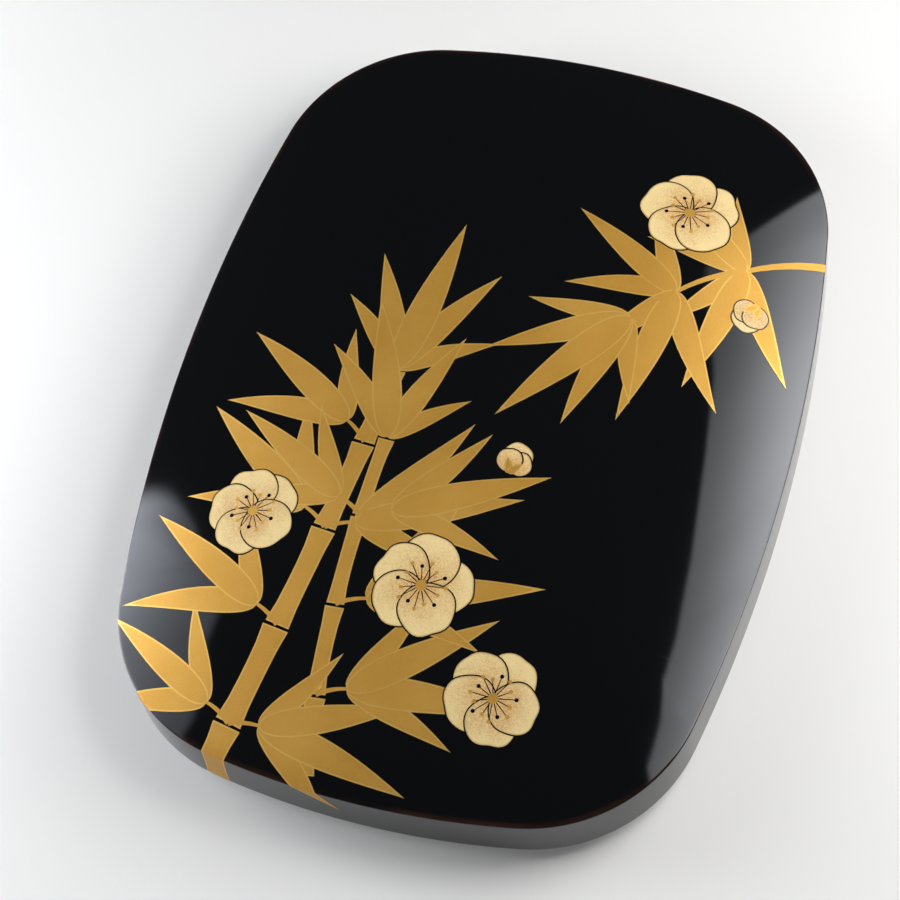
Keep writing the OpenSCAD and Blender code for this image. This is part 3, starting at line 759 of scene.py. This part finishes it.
def dome_height(x, y):
    """The dome's height over a point in plan, found by halving along the ray from the crown."""
    r = math.hypot(x, y)
    if r < 1e-6:
        return arris_z + dome_rise
    way = Vector((abs(x), abs(y))) / r
    a, b = lid_half.x - arris_round, lid_half.y - arris_round
    oval = 1 / Vector((way.x / a, way.y / b)).length
    turn = math.atan2(way.y, way.x)
    edge = None
    for centre, radius, start, stop in arcs:
        radius -= arris_round
        first = centre + radius * Vector((math.cos(start), math.sin(start)))
        last = centre + radius * Vector((math.cos(stop), math.sin(stop)))
        if math.atan2(first.y, first.x) - 1e-9 <= turn <= math.atan2(last.y, last.x) + 1e-9:
            reach = centre.dot(way)
            edge = reach + math.sqrt(reach ** 2 - centre.length_squared + radius ** 2)
    low, high = 0.0, 1.05
    for _ in range(30):
        s = (low + high) / 2
        if s * ((1 - s * s) * oval + s * s * edge) < r:
            low = s
        else:
            high = s
    return arris_z + dome_rise * dome(s)


# The eased edge as three points of (inset, z): where it leaves the dome, its corner, the wall
edge_turn = 0.346 * MM
edge_curve = ((edge_turn, corner_z + 0.055 * MM), (0.0, corner_z), (0.0, corner_z - edge_ease))


def on_lid(x, y, lift):
    """A point in plan laid on the lid and raised by lift. Past the edge it goes down the wall."""
    past, out = side_of_lid(x, y)
    if past > -edge_turn:
        # Round the eased edge, and straight down the wall below it
        t = min(1.0, (past + edge_turn) / (2 * edge_turn))
        (i0, z0), (i1, z1), (i2, z2) = edge_curve
        inset = (1 - t) ** 2 * i0 + 2 * t * (1 - t) * i1 + t ** 2 * i2
        z = (1 - t) ** 2 * z0 + 2 * t * (1 - t) * z1 + t ** 2 * z2
        if t >= 1:
            z = z2 - (past - edge_turn)
        foot = Vector((x, y)) - (past + inset) * out
        lean = math.pi / 2 * t
        return Vector((foot.x, foot.y, z)) + lift * Vector((
            out.x * math.sin(lean), out.y * math.sin(lean), math.cos(lean)))
    z = dome_height(x, y)
    dx = (dome_height(x * 0.999, y) - z) / max(1e-6, abs(x) * 0.001) * math.copysign(1, x)
    dy = (dome_height(x, y * 0.999) - z) / max(1e-6, abs(y) * 0.001) * math.copysign(1, y)
    return Vector((x, y, z)) + Vector((dx, dy, 1)).normalized() * lift


def gold_powder(name, dark, light, roughness, metallic):
    """Keshi-fun, gold powder a few microns fine, sprinkled thickly and burnished. It reads as an
    even, soft metal sheen with a faint grain, paler where the layer is thick."""
    material, shader = new_material(name, Metallic=metallic, Roughness=roughness)
    place = add(material, "TexCoord").outputs["Object"]
    # The powder itself is far too fine to show, so the grain is drawn at 0.35 mm
    grain = add(material, "TexNoise", Vector=place, Scale=2800.0, Detail=2.0, Roughness=0.6)
    cloud = add(material, "TexNoise", Vector=place, Scale=38.0, Detail=3.0)
    blend = add(material, "Math", {"operation": "MULTIPLY_ADD"}, in0=grain, in1=0.55, in2=cloud)
    tone = add(material, "MapRange", Value=blend, in1=0.5, in2=1.1)
    colour = add(material, "Mix", RGBA, in0=tone, in6=linear(dark), in7=linear(light))
    bump = add(material, "Bump", Strength=0.25, Distance=0.00003, Height=grain)
    feed(material, shader, Base_Color=colour.outputs[2], Normal=bump)
    return material


def shell_white(name):
    """Ground shell in clear lacquer: a warm cream, with gold and pink powder sprinkled more and
    more closely towards the blossom's heart."""
    material, shader = new_material(name, Roughness=0.42, IOR=1.5)
    place = add(material, "TexCoord").outputs["Object"]
    depth = add(material, "Attribute", {"attribute_name": "depth"}).outputs["Fac"]
    speck = add(material, "TexNoise", Vector=place, Scale=2300.0, Detail=2.0, Roughness=0.7)
    wash = add(material, "TexNoise", Vector=place, Scale=160.0, Detail=3.0)
    near = add(material, "MapRange", Value=depth, in1=0.15, in2=0.95, in3=0.62, in4=0.12)
    spread = add(material, "Math", {"operation": "MULTIPLY_ADD"}, in0=wash, in1=0.5, in2=near)
    dusting = add(material, "Math", MULTIPLY, in0=spread, in1=speck)
    amount = add(material, "MapRange", Value=dusting, in1=0.2, in2=0.5)
    colour = add(material, "Mix", RGBA, in0=amount, in6=linear("#f1d79a"), in7=linear("#cb9657"))
    feed(material, shader, Base_Color=colour.outputs[2])
    return material


finishes = {
    "gold": (gold_powder("burnished gold powder", "#ca9538", "#e0ad50", 0.5, 0.5), 0.10 * MM),
    "line": (gold_powder("drawn gold line", "#dfae4e", "#f0c870", 0.42, 0.55), 0.13 * MM),
    "petal": (shell_white("shell-white lacquer with sprinkled gold"), 0.16 * MM),
    "rim": (gold_powder("pale gold petal border", "#d3ae6c", "#ecd093", 0.45, 0.4), 0.20 * MM),
}


def net_of_shapes():
    """All outlines, the lid's edge and the loose points as one net of triangles in plan."""
    points, faces, kinds = [], [], []
    for path, kind, heart, reach in shapes:
        area = sum(a[0] * b[1] - b[0] * a[1] for a, b in zip(path, path[1:] + path[:1]))
        path = path if area > 0 else path[::-1]
        faces.append(list(range(len(points), len(points) + len(path))))
        points += [Vector(p) for p in path]
        kinds.append((kind, heart, reach))
    lines = []
    for inset in (0.5 * MM, edge_turn, 0.2 * MM, 0.1 * MM, 0.0, -0.1 * MM, -0.2 * MM, -edge_turn):
        edge = [p / MM for p in outline(inset, (12, 24, 12))]
        lines += [(len(points) + i, len(points) + (i + 1) % len(edge)) for i in range(len(edge))]
        points += edge
    for pitch, wanted in ((3.0, "gold"), (1.6, "petal")):
        spots = set()
        for path, kind, _, _ in shapes:
            if kind == wanted:
                xs, ys = [p[0] for p in path], [p[1] for p in path]
                for i in range(math.floor(min(xs) / pitch), math.ceil(max(xs) / pitch) + 1):
                    for j in range(math.floor(min(ys) / pitch), math.ceil(max(ys) / pitch) + 1):
                        spots.add((i, j))
        # Set off a little, so that few of them fall on an outline
        for i, j in sorted(spots):
            points.append(Vector((i * pitch + 0.37 * (j % 2) + 0.013, j * pitch + 0.017)))
    verts, _, tris, _, _, owners = delaunay_2d_cdt(points, lines, faces, 1, 1e-4)
    return verts, tris, owners, kinds


net_points, net_faces, net_owners, net_kinds = net_of_shapes()
lots = {kind: [] for kind in finishes}
for face, owners in zip(net_faces, net_owners):
    if owners:
        kind, heart, reach = net_kinds[max(owners)]
        if kind in lots:
            lots[kind].append((face, heart, reach))

plate_root = 0.08 * MM      # how deep a plate's border goes into the lid


def raised_plate(kind, material, lift):
    """The triangles of one finish as a thin plate on the lid, with a wall round its border."""
    work = bmesh.new()
    depth = work.verts.layers.float.new("depth")
    top, low = {}, {}

    def corner(i, heart, reach, table, raised):
        if i not in table:
            x, y = net_points[i]
            table[i] = work.verts.new(on_lid(x * MM, y * MM, raised))
            table[i][depth] = min(1.0, math.hypot(x - heart[0], y - heart[1]) / reach)
        return table[i]

    for face, heart, reach in lots[kind]:
        work.faces.new([corner(i, heart, reach, top, lift) for i in face]).smooth = True
    work.edges.ensure_lookup_table()
    index_of = {v: i for i, v in top.items()}
    for edge in [e for e in work.edges if len(e.link_faces) == 1]:
        edge.smooth = False
        loop = edge.link_loops[0]
        a, b = loop.vert, loop.link_loop_next.vert
        below = [corner(index_of[v], (0, 0), 1.0, low, -plate_root) for v in (a, b)]
        for v, w in zip((a, b), below):
            w[depth] = v[depth]
        work.faces.new([b, a, below[0], below[1]])
    bmesh.ops.recalc_face_normals(work, faces=work.faces)
    mesh = bpy.data.meshes.new("makie_" + kind)
    work.to_mesh(mesh)
    work.free()
    mesh.materials.append(material)
    plate = bpy.data.objects.new("makie_" + kind, mesh)
    bpy.context.scene.collection.objects.link(plate)
    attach(plate, "lid")


for kind, (material, lift) in finishes.items():
    raised_plate(kind, material, lift)

# ---------------------------------------------------------------------------------------------
# The room: a pale floor under a dark ceiling, which the flat of the lid mirrors. The key lamp is
# behind on the right, another on the left has a strong one low behind it for the floor, a weak
# one stands by the camera, and a high one lights the floor and the gold.

paper, paper_shader = new_material("white background paper", Base_Color=linear("#e9e8e6"),
                                   Roughness=0.9)
# Painted light: for the camera and in reflections the paper also glows, faintly near the box and more
# strongly farther out.
ray = add(paper, "LightPath")
seen = add(paper, "Math", {"operation": "MAXIMUM"}, in0=ray.outputs["Is Camera Ray"],
           in1=ray.outputs["Is Glossy Ray"])
place = add(paper, "TexCoord").outputs["Object"]
from_box = add(paper, "VectorMath", {"operation": "LENGTH"}, in0=place)
painted_glow_by_distance = add(paper, "MapRange", SMOOTHSTEP, Value=from_box.outputs["Value"],
              in1=0.2, in2=1.2, in3=0.11, in4=0.72)
lift = add(paper, "Math", MULTIPLY, in0=seen, in1=painted_glow_by_distance)
paper_shader.inputs["Emission Color"].default_value = linear("#ffffff")
feed(paper, paper_shader, Emission_Strength=lift)
sweep = mesh_object("floor", [(-4, -4, 0), (4, -4, 0), (4, 4, 0), (-4, 4, 0)], [(0, 1, 2, 3)], paper)


def soft_lamp(name, azimuth, elevation, distance, columns, low, high=None, colour="#ffffff",
              fade=(0.1, 0.1, 0.1, 0.1), dim=1.0):
    """A sheet of light that faces the box. Each column is (offset sideways, foot, top) in metres.
    The light runs from low at the foot to high at the top, or is even if no high is given. It
    fades over a share of the sheet at its right, left, foot and top, and is dimmed by dim towards
    the left."""
    a, e = math.radians(azimuth), math.radians(elevation)
    out = Vector((math.cos(a) * math.cos(e), math.sin(a) * math.cos(e), math.sin(e)))
    side = Vector((-math.sin(a), math.cos(a), 0))
    rise = out.cross(side)
    points, faces = [], []
    for i, (offset, foot, top) in enumerate(columns):
        middle = out * distance + side * offset
        points += [middle + rise * foot, middle + rise * top]
        if i:
            faces.append((2 * i - 2, 2 * i, 2 * i + 1, 2 * i - 1))
    material = bpy.data.materials.new(name)
    material.use_nodes = True
    material.node_tree.nodes.clear()
    where = add(material, "SeparateXYZ", Vector=add(material, "TexCoord").outputs["UV"])
    across, up = where.outputs["X"], where.outputs["Y"]
    light = add(material, "MapRange", SMOOTHSTEP, Value=up, in3=low, in4=low if high is None else high)
    for axis, share, start, stop in ((across, fade[0], 0.0, 1.0), (across, fade[1], 1.0, 0.0),
                                     (up, fade[2], 0.0, 1.0), (up, fade[3], 1.0, 0.0)):
        edge = add(material, "MapRange", SMOOTHSTEP, Value=axis, in1=start,
                   in2=start + (stop - start) * share)
        light = add(material, "Math", MULTIPLY, in0=light, in1=edge)
    weaker = add(material, "MapRange", SMOOTHSTEP, Value=across, in1=0.45, in2=1.0, in3=1.0, in4=dim)
    light = add(material, "Math", MULTIPLY, in0=light, in1=weaker)
    glow = add(material, "Emission", Color=linear(colour), Strength=light)
    add(material, "OutputMaterial", Surface=glow)
    panel = mesh_object(name, points, faces, material)
    uv = panel.data.uv_layers.new(name="UVMap")
    first, last = columns[0][0], columns[-1][0]
    for loop in panel.data.loops:
        column = columns[loop.vertex_index // 2]
        uv.data[loop.index].uv = ((column[0] - first) / (last - first), loop.vertex_index % 2)
    panel.visible_camera = False


soft_lamp("key_lamp", 40, 42, 0.45, [
    (-0.26, -0.12, 0.3), (-0.21, -0.12, 0.292), (-0.167, -0.12, 0.213), (-0.117, -0.12, 0.149),
    (-0.074, -0.12, 0.125), (0.003, -0.12, 0.098), (0.057, -0.12, 0.082), (0.172, -0.12, 0.082)],
    low=10.0, high=2.1, fade=(0.05, 0.03, 0.1, 0.05), dim=0.4)
soft_lamp("left_lamp", 172, 42, 0.45, [
    (-0.024, -0.2, -0.12), (0.0, -0.2, -0.01), (0.03, -0.2, 0.08), (0.05, -0.2, 0.112),
    (0.11, -0.2, 0.122), (0.155, -0.2, 0.15), (0.21, -0.2, 0.168), (0.32, -0.2, 0.168)],
    low=7.0, high=1.1, colour="#f4f8ff", fade=(0.05, 0.1, 0.05, 0.06))
soft_lamp("left_foot_lamp", -170, 22, 0.6, [(-0.2, -0.15, 0.15), (0.2, -0.15, 0.15)], low=15.4)
soft_lamp("near_lamp", -75, 28, 0.85, [(-0.5, -0.22, 0.22), (0.5, -0.22, 0.22)], low=0.15)
# The lid's mirror doesn't show the high lamp
soft_lamp("high_lamp", 15, 62, 0.5, [(-0.12, -0.08, 0.08), (0.12, -0.08, 0.08)], low=8.4)
bpy.data.objects["high_lamp"].visible_glossy = False

world = bpy.data.worlds.new("dark room with pale walls")
bpy.context.scene.world = world
world.use_nodes = True
way = add(world, "SeparateXYZ", Vector=add(world, "TexCoord").outputs["Generated"])
ray = add(world, "LightPath")
# Pale low down for reflections, and all round for the camera; it lights the box only faintly
wall = add(world, "MapRange", SMOOTHSTEP, Value=way.outputs["Z"],
           in1=0.12, in2=0.3, in3=0.7, in4=0.05)
mirrored = add(world, "Mix", in0=ray.outputs["Is Glossy Ray"], in2=0.05, in3=wall)
shown = add(world, "Mix", in0=ray.outputs["Is Camera Ray"], in2=mirrored, in3=0.8)
tree = world.node_tree
tree.links.new(shown.outputs[0], tree.nodes["Background"].inputs["Strength"])
tree.nodes["Background"].inputs["Color"].default_value = linear("#ffffff")

# ---------------------------------------------------------------------------------------------
# The camera: where the photographer stood, from the outline's perspective, with a long lens.

view_azimuth, view_elevation, view_roll = map(math.radians, (27.3, 62.39, -12.29))
back = Vector((math.sin(view_azimuth) * math.cos(view_elevation),
               -math.cos(view_azimuth) * math.cos(view_elevation), math.sin(view_elevation)))
level_right = Vector((math.cos(view_azimuth), math.sin(view_azimuth), 0))
level_up = back.cross(level_right)
right = math.cos(view_roll) * level_right + math.sin(view_roll) * level_up
up = math.cos(view_roll) * level_up - math.sin(view_roll) * level_right
camera_data = bpy.data.cameras.new("camera")
camera_data.lens = 126
camera_data.sensor_width = 36
camera_data.clip_start = 0.01
camera = bpy.data.objects.new("camera", camera_data)
bpy.context.scene.collection.objects.link(camera)
facing = Matrix((right, up, back)).transposed().to_4x4()
camera.matrix_world = Matrix.Translation((0.1883, -0.3882, 0.8305)) @ facing
bpy.context.scene.camera = camera

bpy.context.scene.view_settings.view_transform = "Standard"
